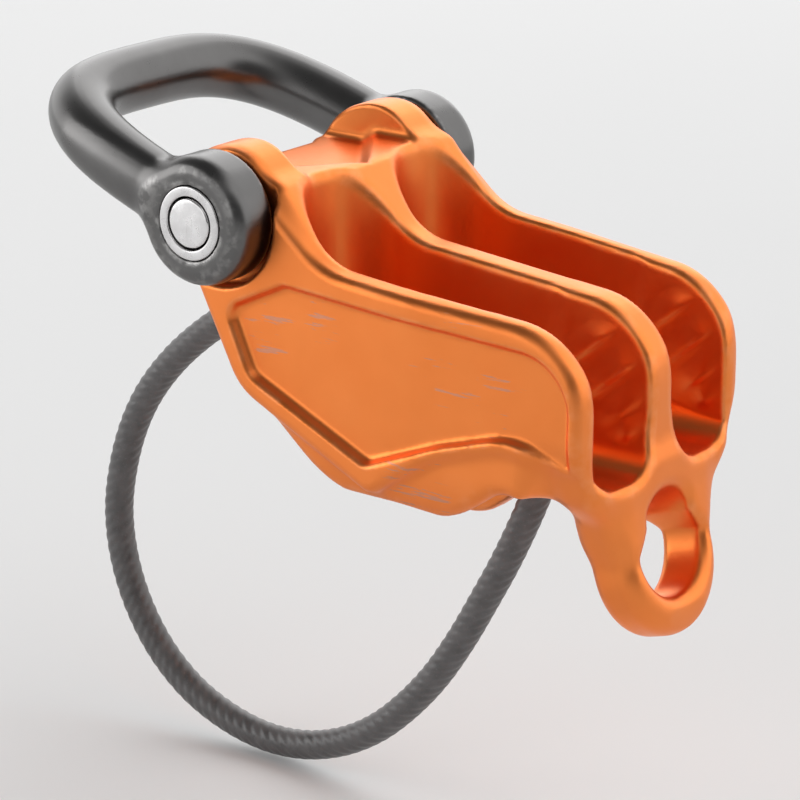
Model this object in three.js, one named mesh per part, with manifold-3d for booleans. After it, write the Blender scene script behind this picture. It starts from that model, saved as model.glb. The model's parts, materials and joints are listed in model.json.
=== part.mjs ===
// Two-slot rope device: a forged body with a pivoting attachment bow and a wire keeper loop.
// Millimetres, +Z up. +X points forward to the release eye and +Y points to the left side.
// The pieces are drawn about the bow's pivot axis, and the last group moves the origin to the
// seat on the underside where the carabiner bears.
import * as THREE from 'three';
import { mergeVertices } from 'three/addons/utils/BufferGeometryUtils.js';
import Module from 'manifold-3d';

const wasm = await Module();
wasm.setup();

// ---------------------------------------------------------------- driving dimensions
const FIT_GAP = 0.3;             // between pieces that touch on the real object

const BODY_HALF_WIDTH = 17.5;    // across the side panels
const NOSE_HALF_WIDTH = 15.4;    // across the side walls at the front
const TAPER_START_X = 24;        // where the side walls begin to close in
const FRONT_X = 47.2;            // front of the walls and the fin
const EDGE_BEVEL = 1.1;          // rounding of the side walls' outer edges
const PANEL_DEPTH = 1.2;         // recess of the side panels

const FIN_THICKNESS = 4.3;       // wall between the two rope slots
const SLOT_WIDTH = 12;           // rope slot at its round rear end
const SLOT_REAR_X = 7.4;         // rear end of the rope slots
const SLOT_FRONT_OUTER_Y = 12.5; // outer side of the slot at the front mouth
const SLOT_THROUGH_X = 36.5;     // the slots are open underneath up to here
const SLOT_FLOOR_Z = -23.6;      // floor of the slots in the nose

const RIDGE_SLOPE = THREE.MathUtils.degToRad(39);
const RIDGE_STARTS = [[42.9, -8.0], [45.7, -11.0], [46.2, -15.3]]; // front ends, [x, z]
const RIDGE_LENGTH = 7.8;
const RIDGE_WIDTH = 1.8;
const RIDGE_HEIGHT = 0.7;        // out of the slot's wall

const EAR_RADIUS = 7.2;
const EAR_INNER_Y = 10.2;
const EAR_OUTER_Y = 15.5;
const EAR_ROUNDING = 1.6;
const SADDLE_Z = 2.8;            // floor of the pocket between the ears
const SADDLE_FRONT_X = 8.4;      // the pocket's point in the middle plane
const SADDLE_CORNER_X = 1;       // where the pocket begins to narrow

const LUG_RADIUS = 7.2;
const LUG_THICKNESS = 6;
const LUG_GAP = 0.4;             // side play between ear and lug
const LUG_FACE_RADIUS = 5.2;     // flat outer face of the lug
const LUG_INNER_CHAMFER = 0.8;
const SCALLOP_CLEARANCE = 0.7;   // round the lug, in the side wall

const BOW_REACH = 26.9;          // pivot axis to the middle of the crown's bar
const BOW_BAR = 7.5;             // bar of the bow at the crown
const BOW_SQUARENESS = 3.3;      // 2 is an ellipse, more is squarer
const BOW_SIDES = 16;
const BOW_STEPS = 40;
const BOW_TILT = THREE.MathUtils.degToRad(19);

const PIN_RADIUS = 2.75;
const PIN_DEPTH_IN_EAR = 4.8;
const BUSH_CLEARANCE = 0.35;     // round the pin
const BUSH_WALL = 1;
const BUSH_INNER_RADIUS = PIN_RADIUS + BUSH_CLEARANCE;
const BUSH_OUTER_RADIUS = BUSH_INNER_RADIUS + BUSH_WALL;

const EYE_LEAN = THREE.MathUtils.degToRad(16.5);
const EYE_CENTRE_X = 45.6;       // middle of the eye's strap
const EYE_CENTRE_Z = -31.2;
const EYE_HOLE_WIDTH = 11.6;     // at its round lower end
const EYE_HOLE_TOP_WIDTH = 8.2;
const EYE_HOLE_LOW = -7.1;       // lower end of the hole, along the strap from its middle
const EYE_HOLE_HIGH = 1.6;       // its upper end at the rear
const EYE_SCOOP_SLOPE = 0.7;     // the hole's ceiling rises to the front
const EYE_RIM = 2.6;             // width of the eye's side limbs
const EYE_BOTTOM_RIM = 4.2;
const EYE_DEPTH = 6.2;
const EYE_TOP = 7.8;             // where the strap ends inside the fin's foot
const EYE_WIDENING = 0.6;        // of each side there
const NECK_DEPTH = 4.4;
const NECK_STEP = 0.4;           // the neck stands this far out of the fin's front
const NECK_TOP_HALF = 14.2;
const NECK_TOP_Z = -21.5;
const NECK_LOW_HALF = 7.6;
const NECK_LOW_Z = -31.5;

const CABLE_DIAMETER = 3.4;
const CORE_DIAMETER = 2.2;
const FERRULE_WALL = 0.55;
const FERRULE_RADIUS = CORE_DIAMETER / 2 + FIT_GAP + FERRULE_WALL;
const FERRULE_LENGTH = 6;
const FERRULE_END_WALL = 1.2;
const BOSS_WALL = 1.15;          // round the front ferrule's bore, under the fin

const SEAT_X = 10;               // where the carabiner bears under the body
const SEAT_Z = -24.3;

// The keeper loop's centre line in the middle plane, as [x, z], from the rear of the body to its front.
const LOOP_POINTS = [
  [-2.4, -11.2], [-6.2, -13.5], [-11.0, -16.6], [-16.2, -20.3], [-20.8, -24.4], [-24.7, -29.1], [-27.4, -34.0],
  [-29.2, -39.5], [-30.0, -45.2], [-29.3, -51.0], [-27.2, -56.5], [-23.7, -61.5], [-18.9, -65.4], [-13.2, -67.8],
  [-7.2, -68.8], [-1.4, -68.3], [4.2, -66.4], [9.3, -63.3], [13.8, -59.2], [17.7, -54.6], [21.2, -49.3],
  [24.2, -44.0], [26.8, -39.2], [29.2, -34.2], [31.0, -30.0], [31.9, -27.8],
];

const CURVE_STEPS = 24;          // segments of a full turn
const BEVEL_STEPS = 3;

// ---------------------------------------------------------------- colours
const finish = (color, roughness, metalness) => new THREE.MeshStandardMaterial({ color, roughness, metalness });
const anodisedOrange = () => finish(0xe2662a, 0.35, 0.8);
const anodisedGrey = () => finish(0x4a4b4d, 0.38, 0.8);
const polishedSteel = () => finish(0xc9ccce, 0.25, 1.0);
const darkSheath = () => finish(0x2f3032, 0.5, 0.1);

// ---------------------------------------------------------------- outline helpers
// Corners are [x, y, radius]. Each corner is replaced by an arc that touches both its sides.
function roundedOutline(corners) {
  const points = [];
  corners.forEach(([x, y, radius = 0], i) => {
    const corner = new THREE.Vector2(x, y);
    const before = new THREE.Vector2(...corners.at(i - 1).slice(0, 2)).sub(corner);
    const after = new THREE.Vector2(...corners[(i + 1) % corners.length].slice(0, 2)).sub(corner);
    if (radius === 0) {
      points.push(corner);
      return;
    }
    const toBefore = before.clone().normalize();
    const toAfter = after.clone().normalize();
    const half = Math.acos(THREE.MathUtils.clamp(toBefore.dot(toAfter), -1, 1)) / 2;
    const reach = Math.min(radius / Math.tan(half), before.length() * 0.49, after.length() * 0.49);
    const arcRadius = reach * Math.tan(half);
    const bisector = toBefore.clone().add(toAfter).normalize();
    const centre = corner.clone().addScaledVector(bisector, arcRadius / Math.sin(half));
    const start = corner.clone().addScaledVector(toBefore, reach).sub(centre);
    const sweep = (Math.PI - 2 * half) * Math.sign(toBefore.cross(toAfter) || 1) * -1;
    const steps = Math.max(1, Math.round((Math.abs(sweep) / (2 * Math.PI)) * CURVE_STEPS * 1.5));
    for (let k = 0; k <= steps; k += 1) {
      points.push(start.clone().rotateAround(new THREE.Vector2(), (sweep * k) / steps).add(centre));
    }
  });
  return new THREE.Shape(points);
}

// The same outline on both sides of the middle: corners are given for the positive side, from the
// low end of the first coordinate's axis to its high end.
function mirrored(corners) {
  const other = corners.map(([x, y, radius]) => [x, -y, radius]).reverse();
  return roundedOutline([...corners, ...other]);
}

// ---------------------------------------------------------------- solid helpers
function toSolid(geometry) {
  const bare = geometry.clone();
  bare.deleteAttribute('normal');
  bare.deleteAttribute('uv');
  const merged = mergeVertices(bare, 1e-4);
  const mesh = new wasm.Mesh({
    numProp: 3,
    vertProperties: new Float32Array(merged.attributes.position.array),
    triVerts: new Uint32Array(merged.index.array),
  });
  return new wasm.Manifold(mesh);
}

function toGeometry(solid) {
  const mesh = solid.getMesh();
  const geometry = new THREE.BufferGeometry();
  geometry.setAttribute('position', new THREE.BufferAttribute(mesh.vertProperties, 3));
  geometry.setIndex(new THREE.BufferAttribute(mesh.triVerts, 1));
  geometry.computeVertexNormals();
  return geometry;
}

const join = (solids) => solids.reduce((sum, solid) => sum.add(solid));
const cut = (solid, tools) => tools.reduce((rest, tool) => rest.subtract(tool), solid);

// An outline in the XZ plane, extruded along Y from y0 to y1.
function alongY(shape, y0, y1, bevel = 0) {
  const geometry = extrude(shape, y1 - y0, bevel);
  geometry.rotateX(Math.PI / 2);
  geometry.translate(0, y1, 0);
  return toSolid(geometry);
}

// An outline in the XY plane, extruded along Z from z0 to z1.
function alongZ(shape, z0, z1, bevel = 0) {
  const geometry = extrude(shape, z1 - z0, bevel);
  geometry.translate(0, 0, z0);
  return toSolid(geometry);
}

// An outline in the YZ plane, extruded along X from x0 to x1.
function extrudedAlongX(shape, x0, x1, bevel = 0) {
  const geometry = extrude(shape, x1 - x0, bevel);
  const basis = new THREE.Matrix4().makeBasis(
    new THREE.Vector3(0, 1, 0), new THREE.Vector3(0, 0, 1), new THREE.Vector3(1, 0, 0));
  geometry.applyMatrix4(basis);
  return geometry.translate(x0, 0, 0);
}

function alongX(shape, x0, x1, bevel = 0) {
  return toSolid(extrudedAlongX(shape, x0, x1, bevel));
}

// The bevel stays inside the outline and inside the depth.
function extrude(shape, depth, bevel) {
  const geometry = new THREE.ExtrudeGeometry(shape, {
    depth: depth - 2 * bevel,
    bevelEnabled: bevel > 0,
    bevelThickness: bevel,
    bevelSize: bevel,
    bevelOffset: -bevel,
    bevelSegments: BEVEL_STEPS,
    curveSegments: CURVE_STEPS,
  });
  geometry.translate(0, 0, bevel);
  return geometry;
}

// A turned piece about the Y axis: the profile is [radius, y], from the axis back to the axis.
function turned(profile) {
  return new THREE.LatheGeometry(profile.map(([r, y]) => new THREE.Vector2(r, y)), CURVE_STEPS * 1.5);
}

// The same piece for the left side, 1, or the right side, -1.
function turnedOnSide(profile, side) {
  const geometry = turned(profile);
  if (side < 0) geometry.rotateX(Math.PI);
  return geometry;
}

// A round bar of the given radius between two points.
function roundBar(radius, from, to) {
  const length = from.distanceTo(to);
  const geometry = new THREE.CylinderGeometry(radius, radius, length, CURVE_STEPS);
  const turn = new THREE.Quaternion().setFromUnitVectors(
    new THREE.Vector3(0, 1, 0), to.clone().sub(from).normalize());
  geometry.applyQuaternion(turn);
  const middle = from.clone().add(to).multiplyScalar(0.5);
  geometry.translate(middle.x, middle.y, middle.z);
  return geometry;
}

// ---------------------------------------------------------------- keeper loop route
const loopPoints = LOOP_POINTS.map(([x, z]) => new THREE.Vector3(x, 0, z));
const rearExit = loopPoints[0];
const frontExit = loopPoints.at(-1);
const intoRear = loopPoints[0].clone().sub(loopPoints[1]).normalize();
const intoFront = loopPoints.at(-1).clone().sub(loopPoints.at(-2)).normalize();

// ---------------------------------------------------------------- body
const slotInnerY = FIN_THICKNESS / 2;
const slotOuterY = slotInnerY + SLOT_WIDTH;
const BELOW = -60;
const ABOVE = 30;

function sideWallOutline() {
  return roundedOutline([
    [-3.0, -8.0, 4], [2.8, -19.2, 7], [21.0, -27.8, 2], [29.0, -22.2, 14], [38.6, -19.3, 7],
    [FRONT_X, -24.8, 1.8], [FRONT_X, -6.8, 9.5], [14.5, -3.9, 9], [1.5, 7.6, 4], [-7.0, 3.0, 4],
  ]);
}

function coreOutline() {
  return roundedOutline([
    [-5.6, -4.5, 3], [-3.0, -8.0, 4], [2.8, -19.2, 7], [14.5, -29.0, 9], [24.0, -33.9, 9], [36.8, -24.4, 4],
    [FRONT_X, -26.8, 1.8], [FRONT_X, -6.8, 9.5], [14.5, -3.9, 8], [7.2, 4.0, 2.5], [-4.6, 4.0, 1.2],
  ]);
}

function bellySection() {
  const flankZ = -14;
  return roundedOutline([
    [-BODY_HALF_WIDTH, ABOVE], [-BODY_HALF_WIDTH, flankZ], [-BODY_HALF_WIDTH, -29.5, 11], [0, -34.4, 30],
    [BODY_HALF_WIDTH, -29.5, 11], [BODY_HALF_WIDTH, flankZ], [BODY_HALF_WIDTH, ABOVE],
  ]);
}

// The body from above, drawn in by an inset.
function planOutline(inset = 0) {
  return mirrored([
    [-12, BODY_HALF_WIDTH - inset], [TAPER_START_X, BODY_HALF_WIDTH - inset, 40],
    [FRONT_X, NOSE_HALF_WIDTH - inset, 2.2],
  ]);
}

function noseSection() {
  return mirroredAcrossY([
    [-16, BODY_HALF_WIDTH, 8], [-24.5, 12.4, 6], [-29.5, 8.8, 6], [-35, 7.8, 4],
  ], ABOVE);
}

// Corners are [z, half width, radius], from the top down.
function mirroredAcrossY(corners, top) {
  const left = corners.map(([z, y, radius]) => [y, z, radius]);
  const right = [...corners].reverse().map(([z, y, radius]) => [-y, z, radius]);
  const [, widest] = corners[0];
  return roundedOutline([[widest + 3, top], ...left, ...right, [-widest - 3, top]]);
}

function panelOutline() {
  return roundedOutline([
    [0.9, -10.0, 1.2], [4.4, -17.6, 2], [20.4, -24.7, 1.6], [29.6, -21.0, 12], [38.6, -18.3, 8],
    [FRONT_X - 1.6, -21.4, 0.8], [FRONT_X - 1.4, -8.4, 7], [9.2, -6.0, 1.5],
  ]);
}

function slotPlan(side, endX, roundEnd) {
  const outerAtFront = THREE.MathUtils.lerp(slotOuterY, SLOT_FRONT_OUTER_Y,
    (endX - TAPER_START_X) / (FRONT_X - TAPER_START_X));
  const endRadius = roundEnd ? SLOT_WIDTH * 0.3 : 0;
  return roundedOutline([
    [SLOT_REAR_X, side * slotInnerY, SLOT_WIDTH / 2], [endX, side * slotInnerY, endRadius],
    [endX, side * outerAtFront, endRadius], [TAPER_START_X, side * slotOuterY, 30],
    [SLOT_REAR_X, side * slotOuterY, SLOT_WIDTH / 2],
  ]);
}

function slotMouth(side) {
  const narrow = 1.2;
  return roundedOutline([
    [side * slotInnerY, ABOVE], [side * slotInnerY, -17, 4], [side * (slotInnerY + narrow), SLOT_FLOOR_Z, 3.6],
    [side * (slotOuterY - 1.5), SLOT_FLOOR_Z, 4.6], [side * slotOuterY, -15, 8], [side * slotOuterY, ABOVE],
  ]);
}

function ropeSlot(side) {
  const pastFront = FRONT_X + 10;
  const upper = alongZ(slotPlan(side, pastFront, false), BELOW, ABOVE)
    .intersect(alongX(slotMouth(side), SLOT_REAR_X - 1, pastFront + 1));
  const through = alongZ(slotPlan(side, SLOT_THROUGH_X, true), BELOW, ABOVE);
  return upper.add(through);
}

// Thin wedges on both walls of each slot, running down and back from the front edge.
function frictionRidges(side) {
  const down = RIDGE_SLOPE;
  const along = new THREE.Vector2(-Math.cos(down), -Math.sin(down));
  const across = new THREE.Vector2(-along.y, along.x).multiplyScalar(RIDGE_WIDTH / 2);
  return RIDGE_STARTS.flatMap(([x, z]) => {
    const front = new THREE.Vector2(x, z);
    const tip = front.clone().addScaledVector(along, RIDGE_LENGTH);
    const shape = new THREE.Shape([front.clone().add(across), tip, front.clone().sub(across)]);
    const outerWallY = SLOT_FRONT_OUTER_Y + 0.3;
    const spans = [[slotInnerY - 1, slotInnerY + RIDGE_HEIGHT], [outerWallY - RIDGE_HEIGHT, outerWallY + 1]];
    return spans.map(([a, b]) => alongY(shape, Math.min(side * a, side * b), Math.max(side * a, side * b)));
  });
}

function ear(side) {
  const round = EAR_ROUNDING;
  const part = 0.3 * round; // where the rounding's middle point lies
  return toSolid(turnedOnSide([
    [0, EAR_INNER_Y], [EAR_RADIUS - round, EAR_INNER_Y], [EAR_RADIUS - part, EAR_INNER_Y + part],
    [EAR_RADIUS, EAR_INNER_Y + round], [EAR_RADIUS, EAR_OUTER_Y - round],
    [EAR_RADIUS - part, EAR_OUTER_Y - part], [EAR_RADIUS - round, EAR_OUTER_Y], [0, EAR_OUTER_Y],
  ], side));
}

function releaseEye() {
  const outerHalf = EYE_HOLE_WIDTH / 2 + EYE_RIM;
  const bottom = EYE_HOLE_LOW - EYE_BOTTOM_RIM;
  const outline = roundedOutline([
    [-outerHalf - EYE_WIDENING, EYE_TOP], [-outerHalf, bottom, outerHalf], [outerHalf, bottom, outerHalf],
    [outerHalf + EYE_WIDENING, EYE_TOP],
  ]);
  return placedOnEye(extrudedAlongX(outline, -EYE_DEPTH / 2, EYE_DEPTH / 2, EDGE_BEVEL));
}

// Between the slot floors and the eye, the front of the body closes in to the eye's width.
function neck() {
  const outline = roundedOutline([
    [-NECK_TOP_HALF, NECK_TOP_Z, 2], [-NECK_LOW_HALF, NECK_LOW_Z, 3], [NECK_LOW_HALF, NECK_LOW_Z, 3],
    [NECK_TOP_HALF, NECK_TOP_Z, 2],
  ]);
  return alongX(outline, FRONT_X - NECK_DEPTH, FRONT_X + NECK_STEP, EDGE_BEVEL);
}

// The hole, and the scoop that opens its ceiling to the front.
function eyeHole() {
  const low = EYE_HOLE_WIDTH / 2;
  const high = EYE_HOLE_TOP_WIDTH / 2;
  const hole = roundedOutline([
    [-high, EYE_HOLE_HIGH, high], [-low, EYE_HOLE_LOW, low], [low, EYE_HOLE_LOW, low], [high, EYE_HOLE_HIGH, high],
  ]);
  const scoopHigh = EYE_HOLE_HIGH + EYE_SCOOP_SLOPE * EYE_DEPTH / 2;
  const scoop = roundedOutline([
    [-high, scoopHigh, high], [-high, -high, high], [high, -high, high], [high, scoopHigh, high],
  ]);
  const rise = new THREE.Matrix4().makeShear(0, EYE_SCOOP_SLOPE, 0, 0, 0, 0);
  const [rear, front] = [-EYE_DEPTH, EYE_DEPTH * 1.5];
  const sloped = extrudedAlongX(scoop, rear, front).applyMatrix4(rise);
  return placedOnEye(extrudedAlongX(hole, rear, front)).add(placedOnEye(sloped));
}

// Leans a geometry that was drawn upright about the middle of the eye's strap.
function placedOnEye(geometry) {
  geometry.rotateY(-EYE_LEAN);
  geometry.translate(EYE_CENTRE_X, 0, EYE_CENTRE_Z);
  return toSolid(geometry);
}

function pinBore(side) {
  const radius = PIN_RADIUS + FIT_GAP;
  const deepEnd = EAR_OUTER_Y - PIN_DEPTH_IN_EAR - FIT_GAP;
  const from = new THREE.Vector3(0, side * deepEnd, 0);
  return toSolid(roundBar(radius, from, new THREE.Vector3(0, side * (EAR_OUTER_Y + 5), 0)));
}

function scallop(side) {
  const from = new THREE.Vector3(0, side * EAR_OUTER_Y, 0);
  const to = new THREE.Vector3(0, side * (BODY_HALF_WIDTH + 5), 0);
  return toSolid(roundBar(LUG_RADIUS + SCALLOP_CLEARANCE, from, to));
}

function ferruleBore(exit, inward) {
  const from = exit.clone().addScaledVector(inward, -6);
  const to = exit.clone().addScaledVector(inward, FERRULE_LENGTH + 2 * FIT_GAP);
  return toSolid(roundBar(FERRULE_RADIUS + FIT_GAP, from, to));
}

function cableBoss() {
  const from = frontExit.clone().addScaledVector(intoFront, -0.2);
  const to = frontExit.clone().addScaledVector(intoFront, FERRULE_LENGTH + 2);
  return toSolid(roundBar(FERRULE_RADIUS + FIT_GAP + BOSS_WALL, from, to));
}

function bodySolid() {
  const walls = alongY(sideWallOutline(), -BODY_HALF_WIDTH, BODY_HALF_WIDTH, EDGE_BEVEL)
    .intersect(alongZ(planOutline(), BELOW, ABOVE));
  const core = alongY(coreOutline(), -BODY_HALF_WIDTH + 1.5, BODY_HALF_WIDTH - 1.5, EDGE_BEVEL)
    .intersect(alongX(bellySection(), -20, 60))
    .intersect(alongZ(planOutline(), BELOW, ABOVE));
  const blank = join([cut(walls.add(core), [saddle()]), ear(1), ear(-1)]);
  const nosePart = blank.intersect(alongX(noseSection(), 40, 60));
  const rest = blank.intersect(alongX(rectangle(40), -20, 40));
  const shaped = cut(join([rest, nosePart, neck(), releaseEye()]), [ropeSlot(1), ropeSlot(-1)]);
  const detailed = join([shaped, cableBoss(), ...frictionRidges(1), ...frictionRidges(-1)]);
  const tools = [
    eyeHole(), pinBore(1), pinBore(-1), scallop(1), scallop(-1),
    ferruleBore(rearExit, intoRear), ferruleBore(frontExit, intoFront),
    panelRecess(1), panelRecess(-1),
  ];
  return cut(detailed, tools);
}

// The pocket between the ears comes to a point behind the fin.
function saddle() {
  const rearX = -30;
  const outline = mirrored([
    [rearX, EAR_INNER_Y], [SADDLE_CORNER_X, EAR_INNER_Y, 3], [SADDLE_FRONT_X, 0.8, 1],
  ]);
  return alongZ(outline, SADDLE_Z, ABOVE);
}

function rectangle(half) {
  return roundedOutline([[-half, BELOW], [half, BELOW], [half, ABOVE], [-half, ABOVE]]);
}

// The floor of the recess follows the side wall as it closes in.
function panelRecess(side) {
  const [y0, y1] = side > 0 ? [0, BODY_HALF_WIDTH + 5] : [-BODY_HALF_WIDTH - 5, 0];
  return alongY(panelOutline(), y0, y1).subtract(alongZ(planOutline(PANEL_DEPTH), BELOW, ABOVE));
}

// ---------------------------------------------------------------- bow
const lugInnerY = EAR_OUTER_Y + LUG_GAP;
const lugOuterY = lugInnerY + LUG_THICKNESS;
const lugMiddleY = (lugInnerY + lugOuterY) / 2;

function lug(side) {
  const round = LUG_RADIUS - LUG_FACE_RADIUS;
  const inner = LUG_INNER_CHAMFER;
  return toSolid(turnedOnSide([
    [0, lugInnerY], [LUG_RADIUS - inner, lugInnerY], [LUG_RADIUS, lugInnerY + inner], [LUG_RADIUS, lugOuterY - round],
    [LUG_RADIUS - 0.13 * round, lugOuterY - 0.5 * round], [LUG_RADIUS - 0.5 * round, lugOuterY - 0.13 * round],
    [LUG_FACE_RADIUS, lugOuterY], [0, lugOuterY],
  ], side));
}

// The bar's middle line in the bow's own plane: half of a superellipse from lug to lug.
class BowCurve extends THREE.Curve {
  getPoint(t) {
    const angle = (t - 0.5) * Math.PI;
    const power = 2 / BOW_SQUARENESS;
    const x = -BOW_REACH * Math.cos(angle) ** power;
    const y = lugMiddleY * Math.sign(angle) * Math.abs(Math.sin(angle)) ** power;
    return new THREE.Vector3(x, y, 0);
  }
}

function bowSolid() {
  const bar = toSolid(tubeAlong(new BowCurve(), BOW_BAR / 2, BOW_SIDES, BOW_STEPS));
  const bores = [1, -1].map((side) => toSolid(roundBar(BUSH_OUTER_RADIUS + FIT_GAP,
    new THREE.Vector3(0, side * (lugInnerY - 2), 0), new THREE.Vector3(0, side * (lugOuterY + 2), 0))));
  const earRoom = toSolid(roundBar(EAR_RADIUS + SCALLOP_CLEARANCE,
    new THREE.Vector3(0, -lugInnerY, 0), new THREE.Vector3(0, lugInnerY, 0)));
  const flush = alongX(rectangle(lugOuterY), -40, 20);
  return cut(join([cut(bar, [earRoom]).intersect(flush), lug(1), lug(-1)]), bores);
}

// ---------------------------------------------------------------- pivot pieces
function pivotPin(side) {
  const inner = EAR_OUTER_Y - PIN_DEPTH_IN_EAR;
  const profile = [
    [0, inner], [PIN_RADIUS - 0.4, inner], [PIN_RADIUS, inner + 0.4], [PIN_RADIUS, lugOuterY - 0.4],
    [PIN_RADIUS - 0.4, lugOuterY - 0.1], [0, lugOuterY + 0.1],
  ];
  return turnedOnSide(profile, side);
}

function pivotBush(side) {
  const inner = lugInnerY + 0.2;
  const profile = [
    [BUSH_INNER_RADIUS, inner], [BUSH_OUTER_RADIUS, inner], [BUSH_OUTER_RADIUS, lugOuterY - 0.2],
    [BUSH_OUTER_RADIUS - 0.2, lugOuterY], [BUSH_INNER_RADIUS + 0.2, lugOuterY],
    [BUSH_INNER_RADIUS, lugOuterY - 0.2], [BUSH_INNER_RADIUS, inner],
  ];
  return turnedOnSide(profile, side);
}

// ---------------------------------------------------------------- keeper loop pieces
const CABLE_SIDES = 8;
const CABLE_STEPS = 30;

function polygonShape(radius, sides) {
  const corner = (k) => new THREE.Vector2(radius, 0).rotateAround(new THREE.Vector2(), (2 * Math.PI * k) / sides);
  return new THREE.Shape(Array.from({ length: sides }, (_, k) => corner(k)));
}

function tubeAlong(curve, radius, sides, steps) {
  return new THREE.ExtrudeGeometry(polygonShape(radius, sides), { steps, bevelEnabled: false, extrudePath: curve });
}

function cableTube(points, radius) {
  return tubeAlong(new THREE.CatmullRomCurve3(points), radius, CABLE_SIDES, CABLE_STEPS);
}

function sheathSolid() {
  const bore = CORE_DIAMETER / 2 + FIT_GAP;
  const first = rearExit.clone().addScaledVector(intoRear, -0.8);
  const last = frontExit.clone().addScaledVector(intoFront, -0.8);
  const inner = loopPoints.slice(1, -1);
  const outside = toSolid(cableTube([first, ...inner, last], CABLE_DIAMETER / 2));
  const boreStart = first.clone().addScaledVector(intoRear, 3);
  const boreEnd = last.clone().addScaledVector(intoFront, 3);
  return outside.subtract(toSolid(cableTube([boreStart, first, ...inner, last, boreEnd], bore)));
}

function coreGeometry() {
  const reach = FERRULE_LENGTH - FERRULE_END_WALL - FIT_GAP;
  const first = rearExit.clone().addScaledVector(intoRear, reach);
  const last = frontExit.clone().addScaledVector(intoFront, reach);
  return cableTube([first, ...loopPoints, last], CORE_DIAMETER / 2);
}

function ferrule(exit, inward) {
  const bore = CORE_DIAMETER / 2 + FIT_GAP;
  const geometry = turned([
    [0, FERRULE_LENGTH], [0, FERRULE_LENGTH - FERRULE_END_WALL], [bore, FERRULE_LENGTH - FERRULE_END_WALL],
    [bore, 0], [FERRULE_RADIUS, 0], [FERRULE_RADIUS, FERRULE_LENGTH], [0, FERRULE_LENGTH],
  ]);
  geometry.applyQuaternion(new THREE.Quaternion().setFromUnitVectors(new THREE.Vector3(0, 1, 0), inward));
  geometry.translate(exit.x, exit.y, exit.z);
  return geometry;
}

// ---------------------------------------------------------------- assembly
function named(name, geometry, material) {
  const mesh = new THREE.Mesh(geometry, material);
  mesh.name = name;
  return mesh;
}

const bowGroup = new THREE.Group();
bowGroup.rotation.y = BOW_TILT;
bowGroup.add(named('bow', toGeometry(bowSolid()), anodisedGrey()));

const assembly = new THREE.Group();
assembly.add(named('body', toGeometry(bodySolid()), anodisedOrange()));
[['left', 1], ['right', -1]].forEach(([word, side]) => {
  assembly.add(named(`pivot_pin_${word}`, pivotPin(side), polishedSteel()));
  bowGroup.add(named(`pivot_bush_${word}`, pivotBush(side), polishedSteel()));
});
assembly.add(bowGroup);
assembly.add(named('keeper_cable', toGeometry(sheathSolid()), darkSheath()));
assembly.add(named('keeper_core', coreGeometry(), polishedSteel()));
assembly.add(named('cable_ferrule_rear', ferrule(rearExit, intoRear), polishedSteel()));
assembly.add(named('cable_ferrule_front', ferrule(frontExit, intoFront), polishedSteel()));
assembly.position.set(-SEAT_X, 0, -SEAT_Z);

const ropeDevice = new THREE.Group();
ropeDevice.add(assembly);
export default ropeDevice;
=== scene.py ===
"""Looks of the two-slot rope device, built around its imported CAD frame.

The forged pieces are signed distance fields, so that every edge has its own fillet. Lengths in the
fields are millimetres about the pivot axis, and in_row_frame() turns them into the row's metres.
"""
import json
import math

import bmesh
import bpy
import numpy as np
import openvdb
from mathutils import Matrix, Vector


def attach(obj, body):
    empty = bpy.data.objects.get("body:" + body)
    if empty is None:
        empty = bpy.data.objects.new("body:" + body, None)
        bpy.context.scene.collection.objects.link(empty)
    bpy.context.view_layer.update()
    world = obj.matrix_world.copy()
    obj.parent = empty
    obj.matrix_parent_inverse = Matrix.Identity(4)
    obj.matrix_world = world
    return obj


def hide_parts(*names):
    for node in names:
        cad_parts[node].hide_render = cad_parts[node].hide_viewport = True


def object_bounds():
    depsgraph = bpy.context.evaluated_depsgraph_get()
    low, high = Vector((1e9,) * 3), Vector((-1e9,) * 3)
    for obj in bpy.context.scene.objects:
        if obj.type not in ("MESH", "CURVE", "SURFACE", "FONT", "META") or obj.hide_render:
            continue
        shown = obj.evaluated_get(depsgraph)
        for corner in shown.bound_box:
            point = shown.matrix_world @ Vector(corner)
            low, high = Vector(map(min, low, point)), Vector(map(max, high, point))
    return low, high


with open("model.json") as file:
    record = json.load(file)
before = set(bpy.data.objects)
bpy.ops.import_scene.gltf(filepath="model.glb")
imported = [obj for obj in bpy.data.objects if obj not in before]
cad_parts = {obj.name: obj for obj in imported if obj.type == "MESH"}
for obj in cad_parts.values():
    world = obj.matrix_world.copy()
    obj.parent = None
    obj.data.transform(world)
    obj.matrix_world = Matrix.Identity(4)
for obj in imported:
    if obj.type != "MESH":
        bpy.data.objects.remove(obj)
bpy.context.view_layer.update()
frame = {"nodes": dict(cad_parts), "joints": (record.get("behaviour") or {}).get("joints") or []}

MM = 0.001
PIVOT = np.array(frame["joints"][0]["pos_m"])
GRID_STEP = 0.3

# ---------------------------------------------------------------- dimensions
# They are the CAD's, apart from a few tenths of a millimetre where fillets replace its bevels.
BODY_HALF_WIDTH = 17.5
NOSE_HALF_WIDTH = 15.4
TAPER_START_X = 24
FRONT_X = 47.2
PANEL_DEPTH = 1.2
FIN_THICKNESS = 4.3
SLOT_WIDTH = 12
SLOT_REAR_X = 7.4
SLOT_FRONT_OUTER_Y = 12.5
SLOT_THROUGH_X = 36.5
SLOT_FLOOR_Z = -23.6
RIDGE_SLOPE = math.radians(39)
RIDGE_STARTS = ((42.9, -8.0), (45.7, -11.0), (46.2, -15.3), (46.0, -18.6))
RIDGE_LENGTH = 13.0
RIDGE_HEIGHT = 0.65
EAR_RADIUS = 7.2
EAR_INNER_Y = 10.2
EAR_OUTER_Y = 15.5
SADDLE_Z = 2.8
SADDLE_FRONT_X = 8.4
CREST_Z = 4.0
SADDLE_SLOPE_LENGTH = 2.6
SADDLE_CORNER_X = 1
LUG_RADIUS = 7.2
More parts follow.
